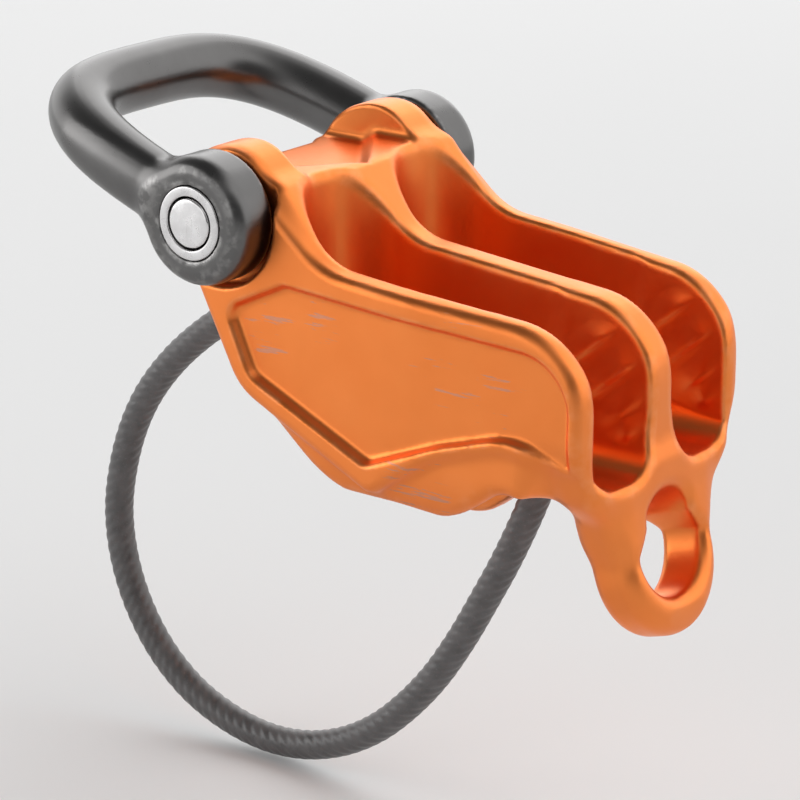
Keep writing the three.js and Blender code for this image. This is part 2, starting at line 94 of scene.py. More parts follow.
LUG_INNER_Y = 15.9
LUG_OUTER_Y = 21.9
SCALLOP_CLEARANCE = 0.7
BOW_REACH = 26.9
BOW_BAR = 7.5
BOW_SQUARENESS = 3.3
BOW_TILT = math.radians(19)
PIN_RADIUS = 2.75
PIN_DEPTH_IN_EAR = 4.8
BUSH_INNER_RADIUS = 3.0
BUSH_OUTER_RADIUS = 4.1
EYE_LEAN = math.radians(16.5)
EYE_CENTRE_X = 45.6
EYE_CENTRE_Z = -31.2
EYE_HOLE_WIDTH = 11.6
EYE_HOLE_TOP_WIDTH = 8.2
EYE_HOLE_LOW = -7.1
EYE_HOLE_HIGH = 1.0
EYE_SCOOP_SLOPE = 0.7
EYE_RIM = 2.6
EYE_BOTTOM_RIM = 4.2
EYE_DEPTH = 6.2
CABLE_DIAMETER = 3.4
FERRULE_RADIUS = 1.95
BOSS_RADIUS = 3.4
BOSS_AIM = (33.5, -22.5)
BOSS_TOP = (33.5, -19.5)
ABOVE = 30

LOOP_POINTS = (
    (-2.4, -11.2), (-6.2, -13.5), (-11.0, -16.6), (-16.2, -20.3), (-20.8, -24.4), (-24.7, -29.1),
    (-27.4, -34.0), (-29.2, -39.5), (-30.0, -45.2), (-29.3, -51.0), (-27.2, -56.5), (-23.7, -61.5),
    (-18.9, -65.4), (-13.2, -67.8), (-7.2, -68.8), (-1.4, -68.3), (4.2, -66.4), (9.3, -63.3),
    (13.8, -59.2), (17.7, -54.6), (21.2, -49.3), (24.2, -44.0), (26.8, -39.2), (29.2, -34.2),
    (31.0, -30.0), (31.9, -27.8),
)


def in_row_frame(points):
    """Millimetres about the pivot axis to metres in the row frame."""
    return np.asarray(points, dtype=np.float64) * MM + PIVOT


# ---------------------------------------------------------------- camera
CAMERA_TARGET = (12.164, 0, -22.954)
CAMERA_DISTANCE = 408.94
CAMERA_LENS = 164.43


def make_camera():
    azimuth, elevation, roll = math.radians(36.952), math.radians(17.809), math.radians(0.424)
    target = in_row_frame(CAMERA_TARGET)
    distance = CAMERA_DISTANCE * MM
    back = Vector((math.sin(azimuth) * math.cos(elevation), -math.cos(azimuth) * math.cos(elevation),
                   math.sin(elevation)))
    data = bpy.data.cameras.new("camera")
    data.sensor_width = 36
    data.lens = CAMERA_LENS
    data.clip_start, data.clip_end = 0.01, 20
    camera = bpy.data.objects.new("camera", data)
    turn = (-back).to_track_quat("-Z", "Y").to_matrix() @ Matrix.Rotation(roll, 3, "Z")
    camera.matrix_world = Matrix.Translation(Vector(target) + back * distance) @ turn.to_4x4()
    bpy.context.scene.collection.objects.link(camera)
    bpy.context.scene.camera = camera


# ---------------------------------------------------------------- mesh helpers
def add_mesh(name, points, faces):
    mesh = bpy.data.meshes.new(name)
    mesh.from_pydata([tuple(p) for p in points], [], [tuple(int(i) for i in f) for f in faces])
    mesh.validate()
    mesh.update()
    mesh.polygons.foreach_set("use_smooth", [True] * len(mesh.polygons))
    piece = bpy.data.objects.new(name, mesh)
    bpy.context.scene.collection.objects.link(piece)
    return piece


def ring_faces(rings, sides, closed_along=False):
    """Quads between successive rings of points."""
    i, j = np.meshgrid(np.arange(rings if closed_along else rings - 1), np.arange(sides), indexing="ij")
    here, after = i * sides, ((i + 1) % rings) * sides
    beside = (j + 1) % sides
    return np.stack([here + j, here + beside, after + beside, after + j], axis=-1).reshape(-1, 4)


# ---------------------------------------------------------------- outlines
def rounded_outline(corners, arc_step=math.radians(5)):
    """Corners are (u, v, radius). Each is replaced by an arc that touches both its sides."""
    points = []
    for i, (u, v, *rest) in enumerate(corners):
        radius = rest[0] if rest else 0
        corner = np.array((u, v), dtype=float)
        if radius == 0:
            points.append(corner)
            continue
        before = np.array(corners[i - 1][:2]) - corner
        after = np.array(corners[(i + 1) % len(corners)][:2]) - corner
        near, far = np.linalg.norm(before), np.linalg.norm(after)
        to_before, to_after = before / near, after / far
        half = math.acos(np.clip(to_before @ to_after, -1, 1)) / 2
        reach = min(radius / math.tan(half), near * 0.49, far * 0.49)
        arc_radius = reach * math.tan(half)
        bisector = (to_before + to_after) / np.linalg.norm(to_before + to_after)
        centre = corner + bisector * arc_radius / math.sin(half)
        arm = corner + to_before * reach - centre
        turn = to_before[0] * to_after[1] - to_before[1] * to_after[0]
        sweep = -(math.pi - 2 * half) * math.copysign(1, turn)
        steps = max(1, round(abs(sweep) / arc_step))
        for k in range(steps + 1):
            c, s = math.cos(sweep * k / steps), math.sin(sweep * k / steps)
            points.append(centre + (arm[0] * c - arm[1] * s, arm[0] * s + arm[1] * c))
    return np.array(points)


def outline_distance(points, u, v):
    """Signed distance in the plane to a closed outline, negative inside."""
    u, v = np.broadcast_arrays(u, v)
    nearest = np.full(u.shape, np.inf, dtype=np.float32)
    inside = np.zeros(u.shape, dtype=bool)
    for a, b in zip(points, np.roll(points, -1, axis=0)):
        along = b - a
        from_u, from_v = u - a[0], v - a[1]
        share = np.clip((from_u * along[0] + from_v * along[1]) / (along @ along), 0, 1)
        nearest = np.minimum(nearest, (from_u - share * along[0]) ** 2 + (from_v - share * along[1]) ** 2)
        if a[1] != b[1]:
            crosses = (a[1] > v) != (b[1] > v)
            inside ^= crosses & (from_u < along[0] * from_v / along[1])
    return np.where(inside, -1, 1) * np.sqrt(nearest)


def line_distance(points, u, v):
    """Distance in the plane to an open line of points."""
    u, v = np.broadcast_arrays(u, v)
    nearest = np.full(u.shape, np.inf, dtype=np.float32)
    for a, b in zip(points[:-1], points[1:]):
        along = b - a
        share = np.clip(((u - a[0]) * along[0] + (v - a[1]) * along[1]) / (along @ along), 0, 1)
        nearest = np.minimum(nearest, (u - a[0] - share * along[0]) ** 2 + (v - a[1] - share * along[1]) ** 2)
    return np.sqrt(nearest)


# ---------------------------------------------------------------- distance fields
class Grid:
    """A box of sample points, with outlines drawn in its coordinate planes."""

    def __init__(self, low, high, step=GRID_STEP):
        self.low, self.step = np.array(low, dtype=np.float64), step
        x, y, z = (np.arange(a, b, step, dtype=np.float32) for a, b in zip(low, high))
        self.x, self.y, self.z = x[:, None, None], y[None, :, None], z[None, None, :]

    def xz(self, corners):
        return outline_distance(rounded_outline(corners), self.x[:, 0], self.z[:, 0])[:, None, :]

    def xy(self, corners):
        return outline_distance(rounded_outline(corners), self.x[:, :, 0], abs(self.y[:, :, 0]))[:, :, None]

    def yz(self, corners):
        return outline_distance(rounded_outline(corners), abs(self.y[0]), self.z[0])[None]


def join(a, b, radius=0.0):
    if radius == 0:
        return np.minimum(a, b)
    u, v = np.maximum(radius - a, 0), np.maximum(radius - b, 0)
    return np.maximum(radius, np.minimum(a, b)) - np.sqrt(u * u + v * v)


def overlap(a, b, radius=0.0):
    return -join(-a, -b, radius)


def carve(a, tool, radius=0.0):
    return overlap(a, -tool, radius)


def chamfered_carve(a, tool, chamfer, radius):
    """Carve with a flat of the given width along the new edge, itself softened."""
    flat = (a - tool + chamfer) * math.sqrt(0.5)
    return overlap(overlap(a, flat, radius), -tool, radius)


def sampled(values, grid, points):
    """Trilinear samples of a field at points."""
    place = (points - grid.low) / grid.step
    cell = np.clip(np.floor(place).astype(int), 0, np.array(values.shape) - 2)
    f = place - cell
    total = 0
    for dx in (0, 1):
        for dy in (0, 1):
            for dz in (0, 1):
                weight = (f[:, 0] if dx else 1 - f[:, 0]) * (f[:, 1] if dy else 1 - f[:, 1])
                weight = weight * (f[:, 2] if dz else 1 - f[:, 2])
                total = total + weight * values[cell[:, 0] + dx, cell[:, 1] + dy, cell[:, 2] + dz]
    return total


def slopes(values, grid, points):
    """The field's gradient at points, over one grid step."""
    axes = np.eye(3) * grid.step / 2
    return np.stack([(sampled(values, grid, points + a) - sampled(values, grid, points - a)) / grid.step
                     for a in axes], axis=-1)


def field_mesh(name, grid, values):
    """The field's zero surface as a piece, with how convex it is stored as the attribute edge."""
    band = 3 * grid.step
    volume = openvdb.FloatGrid(background=band)
    volume.copyFromArray(np.ascontiguousarray(np.clip(values, -band, band), dtype=np.float32))
    cells, quads = volume.convertToQuads(0.0)
    points = cells.astype(np.float64) * grid.step + grid.low
    for _ in range(3):
        slope = slopes(values, grid, points)
        steepness = np.maximum((slope ** 2).sum(axis=1), 0.25)
        move = sampled(values, grid, points) / steepness
        points -= slope * np.clip(move, -grid.step / 2, grid.step / 2)[:, None]
    corners = points[quads.astype(int)]
    outward = np.cross(corners[:, 2] - corners[:, 0], corners[:, 3] - corners[:, 1])
    middle = slopes(values, grid, corners.mean(axis=1))
    if (outward * middle).sum() < 0:
        quads = quads[:, ::-1]
    piece = add_mesh(name, in_row_frame(points), quads)
    reach = 2 * grid.step
    around = sum(sampled(values, grid, points + s * reach * a) for a in np.eye(3) for s in (1, -1))
    bend = (around - 6 * sampled(values, grid, points)) / reach ** 2
    edge = piece.data.attributes.new("edge", "FLOAT", "POINT")
    edge.data.foreach_set("value", bend.astype(np.float32))
    return piece


# ---------------------------------------------------------------- body
BELLY_Z = -35.8
SLOT_INNER_Y = FIN_THICKNESS / 2
SLOT_OUTER_Y = SLOT_INNER_Y + SLOT_WIDTH
WALL_ROUND = 1.15
CORE_INSET = 1.5
PANEL_SLOPE_WIDTH = 0.9
NOSE_START_X = 40
NECK_MIDDLE_X = FRONT_X - 2
NECK_HALF_DEPTH = 2.4
EAR_HALF_DEPTH = 4
RECESS_CUT = 15
FINE_GAP = 0.1
FERRULE_HOLE_DEPTH = 6.5
FERRULE_HOLE_RUN_OUT = 6
FERRULE_AIMS = (1.4, -8.9), (34.2, -22.2)


def side_wall_outline():
    return [(-3.0, -8.0, 4), (2.8, -19.2, 7), (21.0, -27.8, 2), (29.0, -22.2, 14), (38.6, -19.3, 7),
            (FRONT_X, -24.8, 1.8), (FRONT_X, -6.4, 9.5), (14.5, -3.7, 9), (1.5, 7.4, 4), (-7.0, 3.0, 4)]


def core_outline():
    return [(-5.6, -4.5, 3), (-3.0, -8.0, 4), (2.8, -19.2, 7), (14.5, -29.0, 9), (22.5, -35.2, 10),
            (36.8, -24.4, 4), (FRONT_X, -26.8, 1.8), (FRONT_X, -6.8, 9.5), (14.5, -3.9, 8),
            (7.6, 4.3, 2.5), (-4.6, 4.3, 1.2)]


def belly_section():
    side = [(BODY_HALF_WIDTH, -29.5, 11), (BODY_HALF_WIDTH, ABOVE)]
    return [(0, BELLY_Z, 30)] + side + [(-u, v, *r) for u, v, *r in side[::-1]]


def plan_outline():
    side = [(-40, BODY_HALF_WIDTH), (TAPER_START_X, BODY_HALF_WIDTH, 40), (FRONT_X, NOSE_HALF_WIDTH, 2.2)]
    return side + [(u, -v, *r) for u, v, *r in side[::-1]]


def nose_section():
    side = [(20.5, ABOVE), (17.5, -16, 8), (12.4, -24.5, 6), (8.8, -29.5, 6), (7.8, -35, 4)]
    return side + [(-u, v, *r) for u, v, *r in side[::-1]]


def panel_outline():
    return [(0.9, -10.0, 2.2), (4.4, -17.6, 3), (20.4, -24.7, 2.0), (29.6, -21.0, 12), (38.6, -18.3, 8),
            (FRONT_X - 1.6, -21.4, 0.8), (FRONT_X - 1.4, -8.4, 7), (9.2, -6.0, 1.5)]


def slot_plan(end_x, end_radius):
    share = (end_x - TAPER_START_X) / (FRONT_X - TAPER_START_X)
    outer_at_front = SLOT_OUTER_Y + (SLOT_FRONT_OUTER_Y - SLOT_OUTER_Y) * share
    return [(SLOT_REAR_X, SLOT_INNER_Y, SLOT_WIDTH / 2), (end_x, SLOT_INNER_Y, end_radius),
            (end_x, outer_at_front, end_radius), (TAPER_START_X, SLOT_OUTER_Y, 30),
            (SLOT_REAR_X, SLOT_OUTER_Y, SLOT_WIDTH / 2)]


def slot_mouth():
    return [(SLOT_INNER_Y, ABOVE), (SLOT_INNER_Y, -17, 4), (SLOT_INNER_Y + 1.2, SLOT_FLOOR_Z, 3.6),
            (SLOT_OUTER_Y - 1.5, SLOT_FLOOR_Z, 4.6), (SLOT_OUTER_Y, -15, 8), (SLOT_OUTER_Y, ABOVE)]


def ridge_height(x, z, depth):
    """How far the friction ridges stand out of the slot walls: sawteeth that fade to the rear and
    end behind the walls' rounded rims, given how deep inside the walls' outline a point is."""
    cos, sin = math.cos(RIDGE_SLOPE), math.sin(RIDGE_SLOPE)
    height = 0
    for start_x, start_z in RIDGE_STARTS:
        along = -(x - start_x) * cos - (z - start_z) * sin
        across = (x - start_x) * sin - (z - start_z) * cos
        tooth = np.clip(1 + across / 2.6, 0, 1) * np.clip(1 - across / 0.5, 0, 1)
        fade = np.clip(1 - along / RIDGE_LENGTH, 0, 1)
        height = np.maximum(height, tooth * fade)
    rim = np.clip((depth - 0.7) / 3.2, 0, 1)
    return RIDGE_HEIGHT * height * rim * rim * (3 - 2 * rim)


def rope_slot(g):
    past_front = FRONT_X + 10
    upper = overlap(g.xy(slot_plan(past_front, 0)), g.yz(slot_mouth()))
    through = g.xy(slot_plan(SLOT_THROUGH_X, SLOT_WIDTH * 0.3))
    depth = -g.xz(side_wall_outline())
    return join(upper + ridge_height(g.x, g.z, depth), through, 1.2)


def rod(g, start, end, radius):
    """A round bar in the middle plane, endless past its end."""
    (ax, az), (bx, bz) = start, end
    along = np.array((bx - ax, bz - az))
    along = along / np.linalg.norm(along)
    share = (g.x - ax) * along[0] + (g.z - az) * along[1]
    off = (g.x - ax) * along[1] - (g.z - az) * along[0]
    return overlap(np.sqrt(off ** 2 + g.y ** 2) - radius, -share)


def eye_coordinates(g):
    """Across the eye's strap, positive to the front, and up along its leaning middle line."""
    cos, sin = math.cos(EYE_LEAN), math.sin(EYE_LEAN)
    x, z = g.x - EYE_CENTRE_X, g.z - EYE_CENTRE_Z
    return x * cos + z * sin, z * cos - x * sin


def tapered_bar(y, up, low, high, low_radius, high_radius):
    """Distance in the eye's plane to a bar whose radius changes from its low end to its high end."""
    share = np.clip((up - low) / (high - low), 0, 1)
    off_line = np.sqrt(y ** 2 + (up - low - share * (high - low)) ** 2)
    return off_line - low_radius - share * (high_radius - low_radius)


def release_eye(g):
    across, up = eye_coordinates(g)
    outer = EYE_HOLE_WIDTH / 2 + EYE_RIM
    low = EYE_HOLE_LOW - EYE_BOTTOM_RIM + outer
    strap = tapered_bar(g.y, up, low, -EYE_HOLE_LOW, outer, outer + 0.5)
    return overlap(strap, abs(across) - EYE_DEPTH / 2, 2.3)


def eye_hole(g):
    """The hole through the eye, with a ceiling that rises to the front."""
    across, up = eye_coordinates(g)
    low, high = EYE_HOLE_WIDTH / 2, EYE_HOLE_TOP_WIDTH / 2
    front_top = EYE_HOLE_HIGH + EYE_SCOOP_SLOPE * EYE_DEPTH
    hole = tapered_bar(g.y, up, EYE_HOLE_LOW + low, front_top - high, low, high)
    above_rear = up - EYE_HOLE_HIGH - EYE_SCOOP_SLOPE * (across + EYE_DEPTH / 2)
    return overlap(hole, above_rear / math.hypot(1, EYE_SCOOP_SLOPE), 2.5)


def neck(g):
    """Between the slot floors and the eye, the front of the body closes in to the eye's width."""
    side = [(14.2, -21.5, 2), (7.6, -31.5, 3)]
    section = g.yz(side + [(-u, v, r) for u, v, r in side[::-1]])
    return overlap(section, abs(g.x - NECK_MIDDLE_X) - NECK_HALF_DEPTH, 1.5)


def ear_boss(g, centre_y, half_width, radius, rounding):
    off = np.sqrt(g.x ** 2 + g.z ** 2) - radius
    return overlap(off, abs(abs(g.y) - centre_y) - half_width, rounding)


def saddle_floor(g):
    """Height of the pocket's floor between the ears. It slopes up to a pointed crest at the front."""
    point_x = SADDLE_FRONT_X - abs(g.y) * (SADDLE_FRONT_X - SADDLE_CORNER_X) / EAR_INNER_Y
    rise = np.clip(1 + (g.x - point_x) / SADDLE_SLOPE_LENGTH, 0, 1)
    return SADDLE_Z + (CREST_Z - SADDLE_Z) * rise * rise * (3 - 2 * rise)


def ferrule_hole(g, exit_point, aim):
    inward = (aim - exit_point) / np.linalg.norm(aim - exit_point)
    start, end = exit_point - inward * FERRULE_HOLE_RUN_OUT, exit_point + inward * FERRULE_HOLE_DEPTH
    return overlap(rod(g, start, end, FERRULE_RADIUS + FINE_GAP), rod(g, end, start, 4))


def forging_blank(g):
    """The walls, core, ears, neck and eye, before the slots and bores are cut."""
    plan = g.xy(plan_outline())
    recess = np.clip(-g.xz(panel_outline()) / PANEL_SLOPE_WIDTH, 0, 1)
    recess = PANEL_DEPTH * recess * recess * (3 - 2 * recess)
    walls = overlap(g.xz(side_wall_outline()), plan + recess, WALL_ROUND)
    core = overlap(g.xz(core_outline()), g.yz(belly_section()), 1.5)
    core = overlap(core, abs(g.y) - BODY_HALF_WIDTH + CORE_INSET, 1.5)
    core = overlap(core, plan + recess, 1.2)
    blank = join(walls, core, 1.1)
    ears = ear_boss(g, EAR_OUTER_Y - EAR_HALF_DEPTH, EAR_HALF_DEPTH, EAR_RADIUS, 1.6)
    blank = join(blank, ears, 1.5)
    pocket = overlap(abs(g.y) - EAR_INNER_Y, saddle_floor(g) - g.z, 1.0)
    blank = carve(blank, pocket, 0.6)
    beyond_nose = overlap(NOSE_START_X - g.x, -g.yz(nose_section()), 3)
    blank = carve(blank, beyond_nose, 1.5)
    blank = join(blank, neck(g), 2.5)
    return join(blank, release_eye(g), 2.5)


def cut_forging(g, blank):
    shaped = chamfered_carve(blank, rope_slot(g), 0.65, 0.5)
    boss = overlap(rod(g, LOOP_POINTS[-1], BOSS_AIM, BOSS_RADIUS), rod(g, BOSS_TOP, LOOP_POINTS[-1], 6))
    shaped = join(shaped, boss, 2.5)
    shaped = carve(shaped, eye_hole(g), 1.4)
    scallop = ear_boss(g, EAR_OUTER_Y + RECESS_CUT, RECESS_CUT, LUG_RADIUS + SCALLOP_CLEARANCE, 0.4)
    shaped = carve(shaped, scallop, 0.35)
    bores = ear_boss(g, EAR_OUTER_Y - PIN_DEPTH_IN_EAR + RECESS_CUT, RECESS_CUT, PIN_RADIUS + FINE_GAP, 0.2)
    shaped = carve(shaped, bores, 0.2)
    for exit_point, aim in zip((LOOP_POINTS[0], LOOP_POINTS[-1]), FERRULE_AIMS):
        shaped = carve(shaped, ferrule_hole(g, np.array(exit_point), np.array(aim)), 0.4)
    return shaped


def body_piece():
    g = Grid((-12.6, -18.7, -48.6), (50.6, 18.7, 10.4))
    return field_mesh("forged_body", g, cut_forging(g, forging_blank(g)))


# ---------------------------------------------------------------- bow
def bow_line(steps=160):
    angles = np.linspace(-math.pi / 2, math.pi / 2, steps)
    power = 2 / BOW_SQUARENESS
    middle_y = (LUG_INNER_Y + LUG_OUTER_Y) / 2
    return np.stack([-BOW_REACH * np.cos(angles).clip(0) ** power,
                     middle_y * np.sign(angles) * abs(np.sin(angles)) ** power], axis=-1)


def bow_piece():
    g = Grid((-32, -23.2, -8.4), (8.6, 23.2, 8.6), 0.28)
    off_line = line_distance(bow_line(), g.x[:, :, 0], g.y[:, :, 0])[:, :, None]
    bar = np.sqrt(off_line ** 2 + g.z ** 2) - BOW_BAR / 2
    axis_distance = np.sqrt(g.x ** 2 + g.z ** 2)
    ear_room = overlap(axis_distance - EAR_RADIUS - SCALLOP_CLEARANCE, abs(g.y) - LUG_INNER_Y, 0.5)
    bar = overlap(bar, abs(g.y) - LUG_OUTER_Y, 2.0)
    lugs = overlap(axis_distance - LUG_RADIUS, abs(g.y) - LUG_OUTER_Y, 2.0)
    lugs = overlap(lugs, LUG_INNER_Y - abs(g.y), 0.8)
    shape = join(bar, lugs, 1.6)
    shape = carve(shape, ear_room, 0.6)
    shape = overlap(shape, abs(g.y) - LUG_OUTER_Y, 0.3)
    shape = carve(shape, axis_distance - BUSH_OUTER_RADIUS - 0.06, 0.15)
    piece = field_mesh("forged_bow", g, shape)
    to_pivot = Matrix.Translation(Vector(PIVOT))
    piece.data.transform(to_pivot @ Matrix.Rotation(BOW_TILT, 4, "Y") @ to_pivot.inverted())
    return piece


# ---------------------------------------------------------------- turned pieces
def turned_piece(name, profile, side, segments=96):
    """A piece turned about the pivot axis. The profile is (radius, y) and closes on itself or the axis."""
    angles = np.linspace(0, 2 * math.pi, segments, endpoint=False)
    rings = [[(r * math.cos(a), side * y, r * math.sin(a) * side) for a in angles] for r, y in profile]
    points = in_row_frame(np.array(rings).reshape(-1, 3))
    faces = [tuple(f) for f in ring_faces(len(profile), segments, closed_along=profile[0][0] > 0.02)]
    if profile[0][0] <= 0.02:
        faces.append(tuple(range(segments))[::-1])
        faces.append(tuple(range((len(profile) - 1) * segments, len(profile) * segments)))
    piece = add_mesh(name, points, faces)
    fix_normals(piece)
    return piece


def fix_normals(piece):
    bm = bmesh.new()
    bm.from_mesh(piece.data)
    bmesh.ops.recalc_face_normals(bm, faces=bm.faces)
    bm.to_mesh(piece.data)
    bm.free()


def arc_profile(centre, radius, start, end, steps=6):
    """Points (radius, y) on a quarter turn of an edge, angles in degrees from the radial direction."""
    return [(centre[0] + radius * math.cos(math.radians(a)), centre[1] + radius * math.sin(math.radians(a)))
            for a in np.linspace(start, end, steps)]


def pin_piece(word, side):
    inner, outer, edge, dome = EAR_OUTER_Y - PIN_DEPTH_IN_EAR, LUG_OUTER_Y, 0.28, 0.12
    head = [(r, outer - 0.02 + dome * (1 - (r / PIN_RADIUS) ** 2))
            for r in np.linspace(PIN_RADIUS - edge, 0.01, 9)]
    profile = ([(0.01, inner), (PIN_RADIUS - 0.4, inner), (PIN_RADIUS, inner + 0.4)]
               + [(PIN_RADIUS, y) for y in np.linspace(inner + 1, outer - edge - 0.3, 5)]
               + arc_profile((PIN_RADIUS - edge, outer - edge), edge, 0, 80) + head)
    return turned_piece(f"turned_pin_{word}", profile, side)


def bush_piece(word, side):
    inner, outer, edge = LUG_INNER_Y + 0.2, LUG_OUTER_Y, 0.18
    profile = ([(BUSH_INNER_RADIUS, inner), (BUSH_OUTER_RADIUS, inner)]
               + [(BUSH_OUTER_RADIUS, y) for y in np.linspace(inner + 1, outer - 1, 4)]
               + arc_profile((BUSH_OUTER_RADIUS - edge, outer - edge), edge, 0, 90)
               + arc_profile((BUSH_INNER_RADIUS + edge, outer - edge), edge, 90, 180)
               + [(BUSH_INNER_RADIUS, y) for y in np.linspace(outer - 1, inner + 1, 4)])
    return turned_piece(f"turned_bush_{word}", profile, side)


# ---------------------------------------------------------------- keeper loop
STRANDS = 6
STRAND_LAY = 8.6
STRAND_RELIEF = 0.13


def loop_route(spacing):
    """The keeper loop's centre line at even spacing, through the CAD's points."""
    points = np.array([(x, 0, z) for x, z in LOOP_POINTS])
    first, last = 2 * points[0] - points[1], 2 * points[-1] - points[-2]
    padded = np.vstack([first, points, last])
    dense = []
    for p0, p1, p2, p3 in zip(padded, padded[1:], padded[2:], padded[3:]):
        for t in np.linspace(0, 1, 24, endpoint=False):
            dense.append(0.5 * (2 * p1 + (p2 - p0) * t + (2 * p0 - 5 * p1 + 4 * p2 - p3) * t ** 2
                                + (3 * p1 - p0 - 3 * p2 + p3) * t ** 3))
    dense = np.vstack([dense, points[-1]])
    travelled = np.concatenate([[0], np.cumsum(np.linalg.norm(np.diff(dense, axis=0), axis=1))])
    places = np.linspace(0, travelled[-1], max(2, round(travelled[-1] / spacing)))
    return np.stack([np.interp(places, travelled, dense[:, k]) for k in range(3)], axis=-1), travelled[-1]


def cable_piece():
    """A tight sheath over a stranded rope: the strands show through it as helical ribs."""
    spacing, sides = 0.3, 60
    route, length = loop_route(spacing)
    along = np.gradient(route, axis=0)
    along /= np.linalg.norm(along, axis=1)[:, None]
    sideways = np.array((0, 1, 0))
    upward = np.cross(along, sideways)
    angles = np.linspace(0, 2 * math.pi, sides, endpoint=False)
    travelled = np.linspace(0, length, len(route))
    rib = abs(np.sin(STRANDS / 2 * (angles[None] - 2 * math.pi * travelled[:, None] / STRAND_LAY)))
    radius = CABLE_DIAMETER / 2 + 0.04 - STRAND_RELIEF * (1 - rib ** 0.8)
    offsets = (np.cos(angles)[None, :, None] * sideways + np.sin(angles)[None, :, None] * upward[:, None, :])
    points = in_row_frame((route[:, None, :] + radius[..., None] * offsets).reshape(-1, 3))
    faces = [tuple(f) for f in ring_faces(len(route), sides)]
    faces.append(tuple(range(sides)))
    faces.append(tuple(range((len(route) - 1) * sides, len(route) * sides)))
    piece = add_mesh("sheathed_cable", points, faces)
    fix_normals(piece)
    return piece


# ---------------------------------------------------------------- materials
class Shader:
    """A node material with one Principled shader, and short calls for its nodes."""

    def __init__(self, name, **constants):
        self.material = bpy.data.materials.new(name)
        self.material.use_nodes = True
        self.tree = self.material.node_tree
        self.tree.nodes.clear()
        self.output = self.node("ShaderNodeOutputMaterial")
        self.bsdf = self.node("ShaderNodeBsdfPrincipled", **constants)
        self.tree.links.new(self.bsdf.outputs["BSDF"], self.output.inputs["Surface"])
        self.place = self.node("ShaderNodeTexCoord").outputs["Object"]

    def node(self, kind, settings=(), **inputs):
        made = self.tree.nodes.new(kind)
        for key, value in dict(settings).items():
            setattr(made, key, value)
        for key, value in inputs.items():
            self.put(made.inputs[key.replace("_", " ")], value)
        return made

    def put(self, socket, value):
        if isinstance(value, bpy.types.NodeSocket):
            self.tree.links.new(value, socket)
        else:
            socket.default_value = value

    def drive(self, socket, value):
        self.put(self.bsdf.inputs[socket], value)

    def noise(self, per_mm, detail=3.0, stretch=(1, 1, 1), turn=(0, 0, 0), roughness=0.5):
        scale = tuple(s / MM for s in stretch)
        mapping = self.node("ShaderNodeMapping", Vector=self.place, Scale=scale, Rotation=turn)
        texture = self.node("ShaderNodeTexNoise", Vector=mapping.outputs[0], Scale=per_mm, Detail=detail,
                            Roughness=roughness)
        return texture.outputs["Fac"]

    def attribute(self, name):
        return self.node("ShaderNodeAttribute", {"attribute_name": name}).outputs["Fac"]

    def levels(self, value, low, high, to_low=0.0, to_high=1.0):
        made = self.node("ShaderNodeMapRange", {"clamp": True}, Value=value)
        made.inputs["From Min"].default_value, made.inputs["From Max"].default_value = low, high
        made.inputs["To Min"].default_value, made.inputs["To Max"].default_value = to_low, to_high
        return made.outputs[0]

    def math(self, operation, a, b=0.5):
        made = self.node("ShaderNodeMath", {"operation": operation})
        self.put(made.inputs[0], a)
        self.put(made.inputs[1], b)
        return made.outputs[0]

    def weighted(self, a, b, share):
        return self.math("ADD", self.math("MULTIPLY", a, 1 - share), self.math("MULTIPLY", b, share))

    def mix(self, factor, a, b):
        made = self.node("ShaderNodeMix", {"data_type": "RGBA"})
        self.put(made.inputs[0], factor)
        self.put(made.inputs[6], a)
        self.put(made.inputs[7], b)
        return made.outputs[2]

    def bump(self, height, strength, distance_mm, under=None):
        made = self.node("ShaderNodeBump", Strength=strength, Distance=distance_mm * MM, Height=height)
        if under is not None:
            self.put(made.inputs["Normal"], under)
        return made.outputs[0]

    def near(self, centre_mm, radius_mm, soft=0.5):
        """1 close to a point of the pivot frame, falling to 0 at the radius."""
        offset = self.node("ShaderNodeVectorMath", {"operation": "DISTANCE"})
        self.put(offset.inputs[0], self.place)
        offset.inputs[1].default_value = tuple(in_row_frame(centre_mm))
        return self.levels(offset.outputs["Value"], radius_mm * MM, radius_mm * soft * MM)


def anodised_orange():
    s = Shader("anodised_orange", Metallic=1.0)
    mottle = s.noise(0.12, 3)
    clouds = s.noise(0.5, 4)
    colour = s.mix(s.levels(mottle, 0.3, 0.7), (0.90, 0.245, 0.058, 1), (0.94, 0.27, 0.068, 1))
    # Painted highlight: convex edges (the edge attribute) are lightened to a pale orange, in patches set by
    # noise
    painted_rim_highlight = s.math("MULTIPLY", s.levels(s.attribute("edge"), 0.55, 1.5), s.levels(clouds, 0.42, 0.7))
    colour = s.mix(s.math("MULTIPLY", painted_rim_highlight, 0.35), colour, (1.0, 0.42, 0.19, 1))
    scuffs = s.noise(0.55, 6, (0.22, 1.0, 2.6), (0, math.radians(-52), 0), 0.62)
    patch = s.math("MAXIMUM", s.near((6.5, -16.5, -12.0), 4.6), s.near((14.5, -16.5, -10.2), 3.6))
    patch = s.math("MAXIMUM", patch, s.math("MULTIPLY", s.near((27, -16.5, -26), 7), 0.6))
    patch = s.math("MAXIMUM", patch, s.math("MULTIPLY", s.near((33, -16.5, -13), 10), 0.5))
    marks = s.levels(s.math("ADD", scuffs, s.math("MULTIPLY", patch, 0.16)), 0.69, 0.72)
    marks = s.math("MULTIPLY", marks, s.levels(patch, 0.05, 0.3))
    colour = s.mix(s.math("MULTIPLY", marks, 0.55), colour, (0.5, 0.33, 0.27, 1))
    s.drive("Base Color", colour)
    grain = s.noise(5.0, 2)
    rough = s.levels(s.weighted(clouds, grain, 0.4), 0.3, 0.7, 0.33, 0.42)
    s.drive("Roughness", s.math("ADD", rough, s.math("MULTIPLY", marks, 0.12)))
    swell = s.bump(s.noise(0.35, 2), 0.12, 0.12)
    s.drive("Normal", s.bump(grain, 0.16, 0.02, swell))
    return s.material


